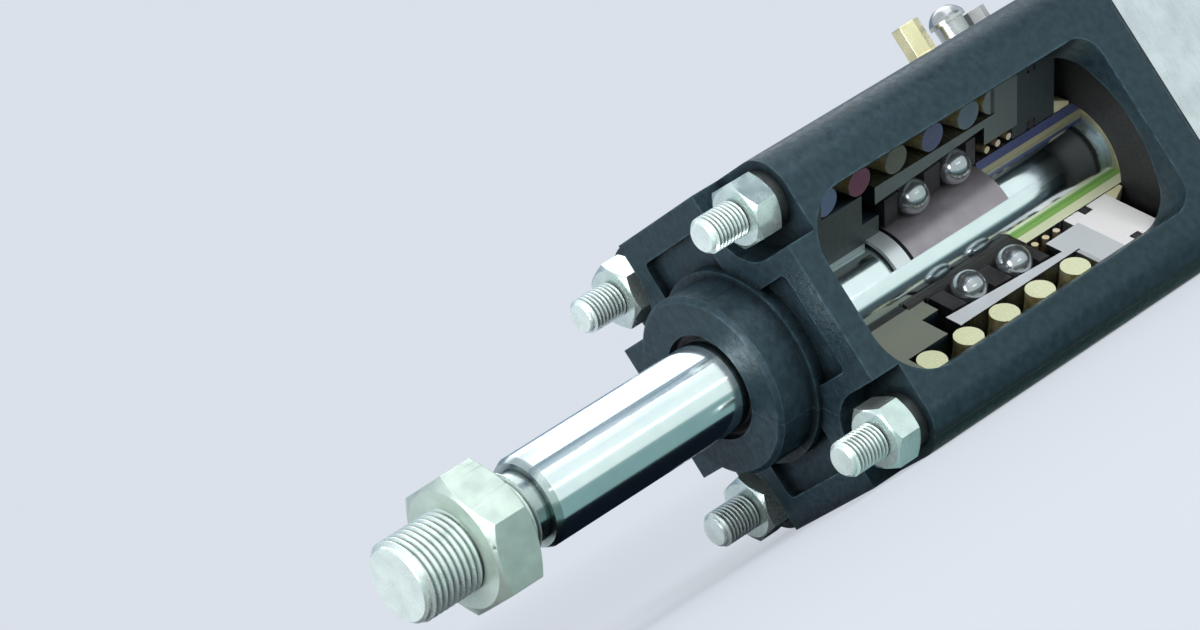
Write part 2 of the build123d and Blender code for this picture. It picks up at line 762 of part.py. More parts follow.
# Tie rods and their fasteners
nut_turns = (2, 42, 19, 51)
put("tie_rods", *at_ties(tie_rod()))
put("front_tie_nuts", *at_ties(hex_nut(-nut_proud, nut_x, nut_af, tie_shank_r + seat_gap), nut_turns))
put("front_spring_washers", *at_ties(spring_washer(nut_x, notch_depth), (40, 160, 250, 110)))
put("rear_tie_nuts", *at_ties(hex_nut(rear_nut_x, rear_nut_x + nut_height, nut_af, tie_shank_r + seat_gap),
                             nut_turns))
put("rear_spring_washers", *at_ties(spring_washer(rear_nut_x - washer_height, rear_nut_x), (60, 200, 300, 20)))

# Fittings on top
put("breather_body", breather_body())
put("breather_element", post(breather_x, 0, half + breather_foot_len + breather_hex_len - breather_element_depth,
                             half + breather_foot_len + breather_hex_len - 0.2, breather_element_r))
put("release_port_plug", release_port_plug())
put("cam_washer", post(cam_x, 0, half, half + cam_washer_len, cam_washer_r)
    - post(cam_x, 0, half, half + cam_washer_len, cam_stem_r + running_gap * 2))
put("cam_retaining_ring", cam_retaining_ring())
put("needle_rings", *[needle_ring(x) for x in (front_port_x, head_port_x)])

# Unlocking cam and cushion needles, which turn
put("unlocking_cam", unlocking_cam())
put("cam_gasket", cam_gasket())
put("front_cushion_needle", cushion_needle(front_port_x))
put("rear_cushion_needle", cushion_needle(head_port_x))

# Lock release group, which slides on the guide
put("taper_ring", taper_ring())
put("release_piston", release_piston())
put("release_outer_seal", opened(rounded_ring(seal_x, chamber_r - running_gap - seal_ring_r, seal_ring_r)))
put("release_inner_seal", opened(rounded_ring(seal_x, guide_r + running_gap + seal_ring_r, seal_ring_r)))
put("hub_bumper", opened(turned((release_rear, release_hole_r), (release_rear, release_hole_r + hub_bumper_foot),
                                (release_rear + hub_bumper_len, release_hole_r + hub_bumper_tip),
                                (release_rear + hub_bumper_len, release_hole_r))))
put("spring_seat", opened(ring(spring_rear, flange_x, flange_r, taper_r + taper_spring_gap)))
put("brake_spring", *brake_spring())

# Ball cage group, which rolls half as far
put("ball_retainer", ball_retainer())
put("front_ball_row", *ball_row(ball_row_front))
put("rear_ball_row", *ball_row(ball_row_rear))
put("retainer_spring", *preload_spring())

# Rod group, which slides through everything
put("piston_rod", piston_rod())
put("rod_end_nut", hex_nut(rod_nut_x, rod_nut_x + rod_nut_height, rod_nut_af, rod_pitch_r + seat_gap))
put("piston", piston())
put("piston_seal", ring(piston_front + piston_seal_x + 0.1, piston_front + piston_seal_x + piston_seal_len - 0.1,
                        bore_r - running_gap, bore_r - piston_side_gap - piston_seal_depth + 0.05))
put("wear_ring", ring(piston_front + wear_x + 0.05, piston_front + wear_x + wear_len - 0.05,
                      bore_r - running_gap, bore_r - piston_side_gap - wear_depth + seat_gap))
put("rod_gasket", rounded_ring(piston_front + rod_gasket_r, rod_spigot_r + rod_gasket_r, rod_gasket_r - seat_gap))
put("front_cushion_ring", ring(piston_front - cushion_ring_len, piston_front, front_ring_r, rod_r + seat_gap))
put("rear_cushion_ring", ring(piston_rear, piston_rear + cushion_ring_len, rear_ring_r, rod_spigot_r + seat_gap))
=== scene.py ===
import math

import bmesh
import bpy
from mathutils import Matrix, Vector


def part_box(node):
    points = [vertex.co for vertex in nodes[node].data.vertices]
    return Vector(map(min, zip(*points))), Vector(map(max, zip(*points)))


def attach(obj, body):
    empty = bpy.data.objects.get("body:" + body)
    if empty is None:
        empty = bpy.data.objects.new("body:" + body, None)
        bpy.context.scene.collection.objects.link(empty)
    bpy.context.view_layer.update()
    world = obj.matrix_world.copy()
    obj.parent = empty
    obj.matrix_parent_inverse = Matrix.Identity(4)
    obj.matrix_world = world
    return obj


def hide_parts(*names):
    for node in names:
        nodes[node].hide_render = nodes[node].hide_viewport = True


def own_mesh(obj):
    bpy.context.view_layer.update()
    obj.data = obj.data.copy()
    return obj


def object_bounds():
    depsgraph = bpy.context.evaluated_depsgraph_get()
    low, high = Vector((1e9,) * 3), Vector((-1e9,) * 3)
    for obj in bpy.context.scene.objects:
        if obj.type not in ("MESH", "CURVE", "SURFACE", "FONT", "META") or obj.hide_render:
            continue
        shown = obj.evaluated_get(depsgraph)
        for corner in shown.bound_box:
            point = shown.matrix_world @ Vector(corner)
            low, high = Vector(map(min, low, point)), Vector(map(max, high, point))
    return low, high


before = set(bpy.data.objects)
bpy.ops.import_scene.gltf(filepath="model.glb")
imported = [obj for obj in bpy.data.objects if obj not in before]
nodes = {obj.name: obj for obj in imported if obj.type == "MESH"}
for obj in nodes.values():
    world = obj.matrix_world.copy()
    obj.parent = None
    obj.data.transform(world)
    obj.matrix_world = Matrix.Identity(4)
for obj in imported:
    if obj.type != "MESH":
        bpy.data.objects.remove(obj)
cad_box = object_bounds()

mm = 0.001

# The view: the front of the cylinder from its cut-open near side. The camera stands level with the
# axis and leans over, so that the rod points down to the left. It has a long lens.
scene = bpy.context.scene
scene.view_settings.view_transform = "Standard"
camera_place = Vector((-535.7, -770.0, 8.2)) * mm
camera_azimuth = math.radians(-33.639)
camera_height = math.radians(-0.981)
camera_roll = math.radians(-32.069)
lens_in_pixels = 4618.0
frame_in_pixels = 1200
camera_back = Vector((math.sin(camera_azimuth) * math.cos(camera_height),
                      -math.cos(camera_azimuth) * math.cos(camera_height),
                      math.sin(camera_height)))
level_right = (-camera_back).cross(Vector((0, 0, 1))).normalized()
level_up = level_right.cross(-camera_back)
view_right = math.cos(camera_roll) * level_right + math.sin(camera_roll) * level_up
view_up = math.cos(camera_roll) * level_up - math.sin(camera_roll) * level_right
view_turn = Matrix((view_right, view_up, camera_back)).transposed().to_4x4()
camera_data = bpy.data.cameras.new("view")
camera_data.sensor_width = 36.0
camera_data.lens = camera_data.sensor_width * lens_in_pixels / frame_in_pixels
camera_data.clip_start = 0.05
camera = bpy.data.objects.new("view", camera_data)
camera.matrix_world = Matrix.Translation(camera_place) @ view_turn
scene.collection.objects.link(camera)
scene.camera = camera

# The studio: a plain pale floor under the flat side and a pale surround. Both show the same pale
# grey to the eye and in reflections. Near the object the floor keeps a share of its own light and
# shadow, which fades out between two distances. Lengths here are in metres.
floor_z = cad_box[0][2]
floor_size = 6.0
floor_color = (0.55, 0.59, 0.64, 1)
floor_share = 0.35
floor_fade = (0.25, 0.8)
surround_light = 0.2
surround_color = (0.70, 0.75, 0.82, 1)


def seen_rays(tree):
    """1 for rays from the camera, from a mirror-like surface and through glass, else 0."""
    path = tree.nodes.new("ShaderNodeLightPath")
    seen = path.outputs["Is Camera Ray"]
    for kind in ("Is Glossy Ray", "Is Transmission Ray"):
        either = tree.nodes.new("ShaderNodeMath")
        either.operation = "MAXIMUM"
        tree.links.new(seen, either.inputs[0])
        tree.links.new(path.outputs[kind], either.inputs[1])
        seen = either.outputs[0]
    return seen


def add_sheet(name, corners, paint):
    """A flat sheet with four corners, for the floor and the cards around the object."""
    mesh = bpy.data.meshes.new(name)
    mesh.from_pydata(corners, [], [(0, 1, 2, 3)])
    mesh.materials.append(paint)
    sheet = bpy.data.objects.new(name, mesh)
    scene.collection.objects.link(sheet)
    return sheet


world = bpy.data.worlds.new("surround")
world.use_nodes = True
world_tree = world.node_tree
world_tree.nodes.clear()
world_out = world_tree.nodes.new("ShaderNodeOutputWorld")
world_mix = world_tree.nodes.new("ShaderNodeMixShader")
for slot_number, color, strength in ((1, (1, 1, 1, 1), surround_light), (2, surround_color, 1.0)):
    background = world_tree.nodes.new("ShaderNodeBackground")
    background.inputs["Color"].default_value = color
    background.inputs["Strength"].default_value = strength
    world_tree.links.new(background.outputs[0], world_mix.inputs[slot_number])
world_tree.links.new(seen_rays(world_tree), world_mix.inputs[0])
world_tree.links.new(world_mix.outputs[0], world_out.inputs[0])
scene.world = world

floor_paint = bpy.data.materials.new("floor_paint")
floor_paint.use_nodes = True
floor_tree = floor_paint.node_tree
floor_tree.nodes.clear()
floor_diffuse = floor_tree.nodes.new("ShaderNodeBsdfDiffuse")
floor_diffuse.inputs["Color"].default_value = floor_color
floor_glow = floor_tree.nodes.new("ShaderNodeEmission")
floor_glow.inputs["Color"].default_value = surround_color
floor_glow.inputs["Strength"].default_value = 1.0
floor_place = floor_tree.nodes.new("ShaderNodeTexCoord")
floor_distance = floor_tree.nodes.new("ShaderNodeVectorMath")
floor_distance.operation = "LENGTH"
floor_tree.links.new(floor_place.outputs["Object"], floor_distance.inputs[0])
floor_part = floor_tree.nodes.new("ShaderNodeMapRange")
floor_part.inputs["From Min"].default_value = floor_fade[0]
floor_part.inputs["From Max"].default_value = floor_fade[1]
floor_part.inputs["To Min"].default_value = floor_share
floor_part.inputs["To Max"].default_value = 0.0
floor_tree.links.new(floor_distance.outputs["Value"], floor_part.inputs["Value"])
floor_seen = floor_tree.nodes.new("ShaderNodeMixShader")
floor_tree.links.new(floor_part.outputs[0], floor_seen.inputs[0])
floor_tree.links.new(floor_glow.outputs[0], floor_seen.inputs[1])
floor_tree.links.new(floor_diffuse.outputs[0], floor_seen.inputs[2])
floor_mix = floor_tree.nodes.new("ShaderNodeMixShader")
floor_tree.links.new(seen_rays(floor_tree), floor_mix.inputs[0])
floor_tree.links.new(floor_diffuse.outputs[0], floor_mix.inputs[1])
floor_tree.links.new(floor_seen.outputs[0], floor_mix.inputs[2])
floor_out = floor_tree.nodes.new("ShaderNodeOutputMaterial")
floor_tree.links.new(floor_mix.outputs[0], floor_out.inputs[0])
floor_corners = [(x * floor_size, y * floor_size, floor_z) for x, y in ((-1, -1), (1, -1), (1, 1), (-1, 1))]
add_sheet("floor", floor_corners, floor_paint)

# The lamps: a long soft box overhead, one high at the near side that shines into the cutaway, a low
# one beside it, one at the front left and a weak one behind. Cards that only show in reflections
# give the bright metal its streaks: white at the near side, blue above, grey and black on the floor.
unit_middle = Vector((60, 0, 0)) * mm


def add_lamp(name, place, size_x, size_y, watts):
    """A soft box with sides in metres, at a place in millimetres, turned to the middle of the unit."""
    light = bpy.data.lights.new(name, "AREA")
    light.shape = "RECTANGLE"
    light.size = size_x
    light.size_y = size_y
    light.energy = watts
    lamp = bpy.data.objects.new(name, light)
    lamp.location = Vector(place) * mm
    lamp.rotation_euler = (unit_middle - lamp.location).to_track_quat("-Z", "Y").to_euler()
    scene.collection.objects.link(lamp)


add_lamp("top_box", (400, -80, 900), 1.5, 0.5, 2.6)
add_lamp("near_box", (60, -760, 740), 0.6, 0.4, 7.0)
add_lamp("low_box", (60, -900, 60), 0.5, 0.3, 1.8)
add_lamp("front_box", (-950, -350, 300), 0.6, 0.6, 10.5)
add_lamp("rear_box", (500, 450, 780), 0.9, 0.4, 1.4)


def add_card(name, color, length, first, second):
    """A long card between two (y, z) lines in metres, which only shows in reflections."""
    paint = bpy.data.materials.new(name)
    paint.use_nodes = True
    paint.node_tree.nodes.clear()
    tone = paint.node_tree.nodes.new("ShaderNodeEmission")
    tone.inputs["Color"].default_value = (*color, 1)
    tone_out = paint.node_tree.nodes.new("ShaderNodeOutputMaterial")
    paint.node_tree.links.new(tone.outputs[0], tone_out.inputs[0])
    front, rear = length
    card = add_sheet(name, [(front, *first), (rear, *first), (rear, *second), (front, *second)], paint)
    card.visible_camera = False
    card.visible_diffuse = False
    card.visible_shadow = False


on_floor = floor_z + 0.0004
add_card("near_card", (0.86, 0.96, 0.96), (-0.4, 1.8), (-0.700, 0.000), (-0.520, 0.440))
add_card("high_card", (0.04, 0.13, 0.20), (-0.8, 1.6), (-0.470, 0.400), (-0.285, 0.550))
add_card("back_card", (0.24, 0.34, 0.46), (-0.8, 1.6), (0.446, 0.431), (0.599, 0.160))
add_card("floor_card_white", (0.80, 0.92, 0.90), (-0.6, 0.8), (-0.600, on_floor), (-0.060, on_floor))
add_card("floor_card_grey", (0.22, 0.36, 0.36), (-0.6, 0.4), (-0.060, on_floor), (-0.016, on_floor))
add_card("floor_card_black", (0.004, 0.007, 0.012), (-0.6, 0.4), (-0.016, on_floor), (0.090, on_floor))

# The lock cover and the head cover: aluminium castings with a satin navy paint that has a fine
# leathery skin, a painted highlight along its edges and painted shade in its inner corners. Where the
# near side is cut open, the bare casting shows, dull and a little olive, painted darker on the cut
# faces above the axis as shade and paler on those below it as if lit.
paint_color = (0.012, 0.024, 0.032)
# A lighter tone of the paint, painted along the edges as a highlight.
paint_edge_highlight = (0.050, 0.100, 0.125)
paint_gloss = (0.68, 0.90, 1.0, 1)
# The casting's cut faces: darker above the axis as painted shade, paler below it as painted light.
casting_cut_shade = (0.045, 0.055, 0.052)
casting_cut_lit = (0.170, 0.185, 0.145)
cover_edge = 0.7


def new_material(name, color, metallic, roughness):
    """A material with one Principled shader, whose plain values are set on its own sockets."""
    material = bpy.data.materials.new(name)
    material.use_nodes = True
    shader = material.node_tree.nodes["Principled BSDF"]
    shader.inputs["Base Color"].default_value = (*color, 1)
    shader.inputs["Metallic"].default_value = metallic
    shader.inputs["Roughness"].default_value = roughness
    return material, material.node_tree, shader


def toned(color, share):
    """A colour made darker or lighter by a share."""
    return tuple(c * share for c in color)


def calc(tree, operation, first, second=0.0):
    """The result of one Math node on two sockets or numbers."""
    node = tree.nodes.new("ShaderNodeMath")
    node.operation = operation
    for socket, value in zip(node.inputs, (first, second)):
        if isinstance(value, (int, float)):
            socket.default_value = value
        else:
            tree.links.new(value, socket)
    return node.outputs[0]


def span(tree, value, low, high, to_low=0.0, to_high=1.0):
    """Maps a socket's range low to high on to another, and clamps it."""
    node = tree.nodes.new("ShaderNodeMapRange")
    tree.links.new(value, node.inputs["Value"])
    for name, number in (("From Min", low), ("From Max", high), ("To Min", to_low), ("To Max", to_high)):
        node.inputs[name].default_value = number
    return node.outputs[0]


def grain(tree, feature, detail=3.0, stretch=(1, 1, 1)):
    """Noise whose features are that many millimetres across, drawn out by stretch along X, Y and Z."""
    place = tree.nodes.new("ShaderNodeTexCoord")
    mapping = tree.nodes.new("ShaderNodeMapping")
    mapping.inputs["Scale"].default_value = [1 / (feature * mm * s) for s in stretch]
    noise = tree.nodes.new("ShaderNodeTexNoise")
    noise.inputs["Scale"].default_value = 1.0
    noise.inputs["Detail"].default_value = detail
    tree.links.new(place.outputs["Object"], mapping.inputs["Vector"])
    tree.links.new(mapping.outputs[0], noise.inputs["Vector"])
    return noise.outputs["Fac"]


def clouds(tree, feature, detail=3.0):
    """Soft patches about that many millimetres across, from 0 to 1."""
    return span(tree, grain(tree, feature, detail), 0.35, 0.65)


def blend_color(tree, factor, first, second):
    """Mixes two colours, each a socket or a plain triple."""
    node = tree.nodes.new("ShaderNodeMix")
    node.data_type = "RGBA"
    tree.links.new(factor, node.inputs["Factor"])
    for socket, value in ((node.inputs[6], first), (node.inputs[7], second)):
        if isinstance(value, tuple):
            socket.default_value = (*value, 1)
        else:
            tree.links.new(value, socket)
    return node.outputs[2]


def vary_gloss(tree, shader, pattern, smooth, rough):
    """Lets the roughness go from smooth to rough with a noise pattern."""
    tree.links.new(span(tree, pattern, 0.3, 0.7, smooth, rough), shader.inputs["Roughness"])


def add_bump(tree, shader, height, depth, strength=1.0):
    """Bump of that depth in millimetres from a height socket."""
    node = tree.nodes.new("ShaderNodeBump")
    node.inputs["Strength"].default_value = strength
    node.inputs["Distance"].default_value = depth * mm
    tree.links.new(height, node.inputs["Height"])
    tree.links.new(node.outputs[0], shader.inputs["Normal"])


def place_along(tree):
    """The sockets of the place along X, Y and Z, in metres."""
    place = tree.nodes.new("ShaderNodeTexCoord")
    split = tree.nodes.new("ShaderNodeSeparateXYZ")
    tree.links.new(place.outputs["Object"], split.inputs[0])
    return list(split.outputs)


def cut_faces(tree):
    """Two masks: 1 on the flats that the cutaway leaves above the axis, and 1 on those below it."""
    y, z = place_along(tree)[1:]
    thin = 0.02 * mm
    upper = calc(tree, "LESS_THAN", calc(tree, "ABSOLUTE", calc(tree, "ADD", y, z)), thin)
    lower = calc(tree, "LESS_THAN", calc(tree, "ABSOLUTE", calc(tree, "SUBTRACT", y, z)), thin)
    return upper, lower


def edge_highlight(tree, reach):
    """1 along sharp edges, as far from them as reach in millimetres, broken up by noise: where a highlight is
    painted.
    """
    rounded = tree.nodes.new("ShaderNodeBevel")
    rounded.samples = 4
    rounded.inputs["Radius"].default_value = reach * mm
    shape = tree.nodes.new("ShaderNodeNewGeometry")
    match = tree.nodes.new("ShaderNodeVectorMath")
    match.operation = "DOT_PRODUCT"
    tree.links.new(rounded.outputs[0], match.inputs[0])
    tree.links.new(shape.outputs["Normal"], match.inputs[1])
    flat, on_edge = 0.99, 0.88
    return calc(tree, "MULTIPLY", span(tree, match.outputs["Value"], flat, on_edge), clouds(tree, 2.5))


def corner_shade(tree, reach, deep, clear):
    """1 where up to the share deep of what is within reach in millimetres is open, 0 from clear up. It marks
    corners and grooves for painted shade.
    """
    node = tree.nodes.new("ShaderNodeAmbientOcclusion")
    node.samples = 6
    node.inputs["Distance"].default_value = reach * mm
    return span(tree, node.outputs["AO"], clear, deep)


def painted_casting(name, color, light):
    """Satin paint on a rough casting: a painted highlight on its edges, painted shade in its inner corners,
    and bare metal on its cut faces, painted darker above the axis as shade and paler below it as if lit.
    """
    material, tree, shader = new_material(name, color, 0.0, 0.4)
    shader.inputs["Specular IOR Level"].default_value = 0.4
    shader.inputs["Specular Tint"].default_value = paint_gloss
    skin = blend_color(tree, clouds(tree, 1.8, 4.0), toned(color, 0.75), toned(color, 1.25))
    # A painted highlight along the edges.
    skin = blend_color(tree, edge_highlight(tree, 0.8), skin, light)
    # Painted shade in the inner corners.
    skin = blend_color(tree, corner_shade(tree, 4.0, 0.5, 0.95), skin, toned(color, 0.08))
    upper, lower = cut_faces(tree)
    skin = blend_color(tree, upper, skin, casting_cut_shade)
    skin = blend_color(tree, lower, skin, casting_cut_lit)
    tree.links.new(skin, shader.inputs["Base Color"])
    leather = grain(tree, 1.3, 2.0)
    vary_gloss(tree, shader, leather, 0.34, 0.50)
    add_bump(tree, shader, leather, 0.10)
    return material


def dress(material, *names):
    """Gives CAD nodes their material."""
    for name in names:
        for slot in nodes[name].material_slots:
            slot.material = material


def round_edges(width, *names):
    """Rounds the sharp edges of CAD nodes by a width in millimetres."""
    for name in names:
        weld = nodes[name].modifiers.new("join", "WELD")
        weld.merge_threshold = 0.001 * mm
        bevel = nodes[name].modifiers.new("round", "BEVEL")
        bevel.width = width * mm
        bevel.segments = 3
        bevel.limit_method = "ANGLE"
        bevel.angle_limit = math.radians(30)
        bevel.harden_normals = True


dress(painted_casting("navy_paint", paint_color, paint_edge_highlight), "lock_cover", "head_cover")
round_edges(cover_edge, "lock_cover", "head_cover")

# The rod wiper and the seals: black rubber rings pressed into the covers. They are turned or moulded
# smooth, with a faint bloom, and the gaskets between the castings are dark sheet.
rubber_color = (0.009, 0.009, 0.011)
sheet_color = (0.030, 0.032, 0.034)


def moulded(name, color, roughness=0.55, bloom=0.35, feature=0.8):
    """Rubber or plastic: a fine matt grain, and patches a little lighter where it has been handled."""
    material, tree, shader = new_material(name, color, 0.0, roughness)
    patches = span(tree, grain(tree, 5.0), 0.4, 0.7)
    paler = tuple(c + bloom * 0.05 + c * bloom for c in color)
    tree.links.new(blend_color(tree, patches, color, paler), shader.inputs["Base Color"])
    fine = grain(tree, feature, 2.0)
    vary_gloss(tree, shader, fine, roughness - 0.06, roughness + 0.08)
    add_bump(tree, shader, fine, 0.01, 0.5)
    return material


dress(moulded("black_rubber", rubber_color), "rod_wiper", "front_rod_seal", "inner_rod_seal",
      "release_outer_seal", "release_inner_seal", "cam_gasket", "rod_gasket", "tube_gaskets", "cushion_seals",
      "piston_seal")
dress(moulded("gasket_sheet", sheet_color, 0.7), "flange_gasket")

# The tie rods: four steel studs through the whole unit, zinc plated, with rolled threads at both
# ends. A nut with a split spring washer holds each end in a corner notch of the covers.
zinc_color = (0.80, 0.91, 0.88)
tie_at = 26.0
tie_thread_to = (1.5, 288.0)
tie_runout = 0.4
tie_shank_r = 3.67
tie_major = 4.0
tie_minor = 3.39
tie_pitch = 1.0
tie_chamfer = 1.0
tie_sides = 40
thread_profile = ((0.0, 0), (0.25, 0), (0.5625, 1), (0.6875, 1))


def ends_of(name):
    """Where a CAD node begins and ends along X, to a thousandth of a millimetre."""
    low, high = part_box(name)
    return round(low[0] / mm, 3), round(high[0] / mm, 3)


def add_point(bm, x, r, turn, centre):
    """A vertex at a radius and a share of a turn from +Y, round a line along X, in millimetres."""
    a = 2 * math.pi * turn
    return bm.verts.new((x * mm, (centre[0] + r * math.cos(a)) * mm, (centre[1] + r * math.sin(a)) * mm))


def add_turned(bm, outline, centre, sides):
    """A surface turned about a line along X from (x, radius) points, in millimetres."""
    rings = []
    for x, r in outline:
        count = sides if r > 0 else 1
        rings.append([add_point(bm, x, r, k / sides, centre) for k in range(count)])
    for first, second in zip(rings, rings[1:]):
        for k in range(sides):
            patch = [first[k % len(first)], first[(k + 1) % len(first)],
                     second[(k + 1) % len(second)], second[k % len(second)]]
            patch = [v for n, v in enumerate(patch) if v not in patch[:n]]
            if len(patch) > 2:
                bm.faces.new(patch)


def add_thread(bm, x0, x1, major, minor, pitch, limit, centre, sides):
    """A rolled thread from x0 to x1. Its radius never passes limit(x), which gives the chamfers.

    thread_profile goes over one pitch in shares of it, with 0 at the root and 1 at the crest.
    """
    first_turn = -1
    last_turn = int((x1 - x0) / pitch) + 1
    rows = []
    for turn in range(first_turn, last_turn + 1):
        for share, high in thread_profile:
            row = []
            for k in range(sides + 1):
                x = x0 + (turn + share + k / sides) * pitch
                x = min(max(x, x0), x1)
                r = min(major if high else minor, limit(x))
                row.append(add_point(bm, x, r, k / sides, centre))
            rows.append(row)
    for first, second in zip(rows, rows[1:]):
        for k in range(sides):
            bm.faces.new((first[k], first[k + 1], second[k + 1], second[k]))


def make_piece(name, bm, body, *materials):
    """Turns a bmesh into a piece with smooth sides and sharp edges, riding a body."""
    sharp = math.radians(35)
    bmesh.ops.remove_doubles(bm, verts=bm.verts, dist=1e-7)
    bmesh.ops.dissolve_degenerate(bm, edges=bm.edges, dist=1e-7)
    bmesh.ops.recalc_face_normals(bm, faces=bm.faces)
    for face in bm.faces:
        face.smooth = True
    for edge in bm.edges:
        if len(edge.link_faces) == 2 and edge.calc_face_angle() > sharp:
            edge.smooth = False
    mesh = bpy.data.meshes.new(name)
    bm.to_mesh(mesh)
    bm.free()
    for material in materials:
        mesh.materials.append(material)
    piece = bpy.data.objects.new(name, mesh)
    scene.collection.objects.link(piece)
    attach(piece, body)
    return piece


def finish_between(piece, material_number, x_from, x_to):
    """Gives the faces between two places along X one of the piece's materials."""
    for face in piece.data.polygons:
        if x_from * mm <= face.center.x < x_to * mm:
            face.material_index = material_number


def plated(name, color, roughness=0.22, metallic=1.0, feature=0.7, bump=0.006, groove_shade=None):
    """Plated or polished metal: small clouds in the gloss, a faint unevenness, and, with groove_shade,
    painted shade in its grooves.
    """
    material, tree, shader = new_material(name, color, metallic, roughness)
    surface = blend_color(tree, clouds(tree, 4.0), color, toned(color, 0.86))
    if groove_shade:
        # Painted shade in the grooves.
        surface = blend_color(tree, corner_shade(tree, groove_shade, 0.25, 0.8), surface, toned(color, 0.06))
    tree.links.new(surface, shader.inputs["Base Color"])
    vary_gloss(tree, shader, grain(tree, feature * 2), roughness - 0.05, roughness + 0.1)
    add_bump(tree, shader, grain(tree, feature, 2.0), bump, 0.6)
    return material


front_tip, rear_tip = ends_of("tie_rods")
front_thread_to, rear_thread_to = tie_thread_to


def tie_limit(x):
    """The stud's chamfered tips."""
    return tie_major - tie_chamfer + min(abs(x - front_tip), abs(x - rear_tip), tie_chamfer)


bm = bmesh.new()
for spot in ((-tie_at, tie_at), (tie_at, tie_at), (-tie_at, -tie_at), (tie_at, -tie_at)):
    add_turned(bm, [(front_tip, 0), (front_tip, tie_major - tie_chamfer)], spot, tie_sides)
    add_thread(bm, front_tip, front_thread_to, tie_major, tie_minor, tie_pitch, tie_limit, spot, tie_sides)
    add_turned(bm, [(front_thread_to, tie_minor), (front_thread_to + tie_runout, tie_shank_r),
                    (rear_thread_to - tie_runout, tie_shank_r), (rear_thread_to, tie_minor)], spot, tie_sides)
    add_thread(bm, rear_thread_to, rear_tip, tie_major, tie_minor, tie_pitch, tie_limit, spot, tie_sides)
    add_turned(bm, [(rear_tip, tie_major - tie_chamfer), (rear_tip, 0)], spot, tie_sides)
# The threads get painted shade in their grooves.
zinc = plated("zinc_plate", zinc_color, 0.28, 0.6, 1.5, 0.003, groove_shade=0.8)
zinc_shank = plated("zinc_shank", zinc_color, 0.3, 0.6, 4.0, 0.001)
studs = make_piece("tie_rod_threads", bm, "housing", zinc, zinc_shank)
finish_between(studs, 1, *tie_thread_to)
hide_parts("tie_rods")
dress(plated("nut_plate", (0.68, 0.80, 0.77), 0.22, 0.8, 1.5, 0.003), "front_tie_nuts", "rear_tie_nuts")
dress(plated("washer_steel", (0.07, 0.08, 0.08), 0.35, 0.8, 1.5, 0.003), "front_spring_washers",
      "rear_spring_washers")

# The piston rod: steel, ground and hard chromed, with a rolled thread at its front end. A large
# zinc-plated nut on the thread locks what the rod is screwed to.
chrome_color = (0.86, 0.93, 0.94)
chrome_cloud = (0.80, 0.88, 0.90)
rod_tip, rod_end = ends_of("piston_rod")
rod_r = 10.0
rod_thread_to = -66.0
rod_major = 9.0
rod_minor = 8.08
rod_pitch = 1.5
rod_tip_chamfer = 1.2
rod_neck_r = 7.8
rod_shoulder_x = -62.3
rod_shoulder_r = 9.25
rod_neck_end = -60.8
rod_spigot_from = 197.4
rod_spigot_r = 8.0
rod_sides = 96
rod_nut_edge = 0.35
on_axis = (0, 0)


def rod_limit(x):
    """The rod's chamfered tip."""
    return rod_major - rod_tip_chamfer + min(x - rod_tip, rod_tip_chamfer)


chrome, tree, shader = new_material("hard_chrome", chrome_color, 1.0, 0.1)
wiped = grain(tree, 0.4, 2.0, (90, 1, 1))
tree.links.new(blend_color(tree, clouds(tree, 7.0), chrome_color, chrome_cloud), shader.inputs["Base Color"])
vary_gloss(tree, shader, wiped, 0.11, 0.17)
add_bump(tree, shader, wiped, 0.001, 0.3)
# The rod's thread and neck get painted shade in their grooves.
thread_steel = plated("thread_steel", (0.80, 0.90, 0.86), 0.26, 0.65, 2.5, 0.002, groove_shade=1.0)
neck_steel = plated("neck_steel", (0.50, 0.58, 0.57), 0.2, 1.0, 1.5, 0.002, groove_shade=2.5)
bm = bmesh.new()
add_turned(bm, [(rod_tip, 0), (rod_tip, rod_major - rod_tip_chamfer)], on_axis, rod_sides)
add_thread(bm, rod_tip, rod_thread_to, rod_major, rod_minor, rod_pitch, rod_limit, on_axis, rod_sides)
add_turned(bm, [(rod_thread_to, rod_minor), (rod_thread_to, rod_neck_r), (rod_shoulder_x, rod_neck_r),
                (rod_shoulder_x, rod_shoulder_r), (rod_neck_end, rod_r), (rod_spigot_from, rod_r),
                (rod_spigot_from, rod_spigot_r), (rod_end, rod_spigot_r), (rod_end, 0)],
           on_axis, rod_sides)
rod = make_piece("rod_with_thread", bm, "rod", chrome, thread_steel, neck_steel)
finish_between(rod, 1, rod_tip, rod_thread_to)
finish_between(rod, 2, rod_thread_to, rod_neck_end)
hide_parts("piston_rod")
dress(plated("nut_steel", (0.56, 0.67, 0.60), 0.34, 0.65, 2.5, 0.006), "rod_end_nut")
round_edges(rod_nut_edge, "rod_end_nut")

# The brake shoe and its holder: an iron shoe bonded inside a hardened steel sleeve. The sleeve's
# silver collar sits in the cover's nose, and a black snap ring stands against the nose's end.
holder_color = (0.36, 0.325, 0.35)
holder_cut = (0.022, 0.018, 0.017)
collar_color = (0.76, 0.80, 0.82)
collar_end = ends_of("holder_ring")[0]
shoe_color = (0.075, 0.072, 0.075)
shoe_cut = (0.028, 0.025, 0.023)


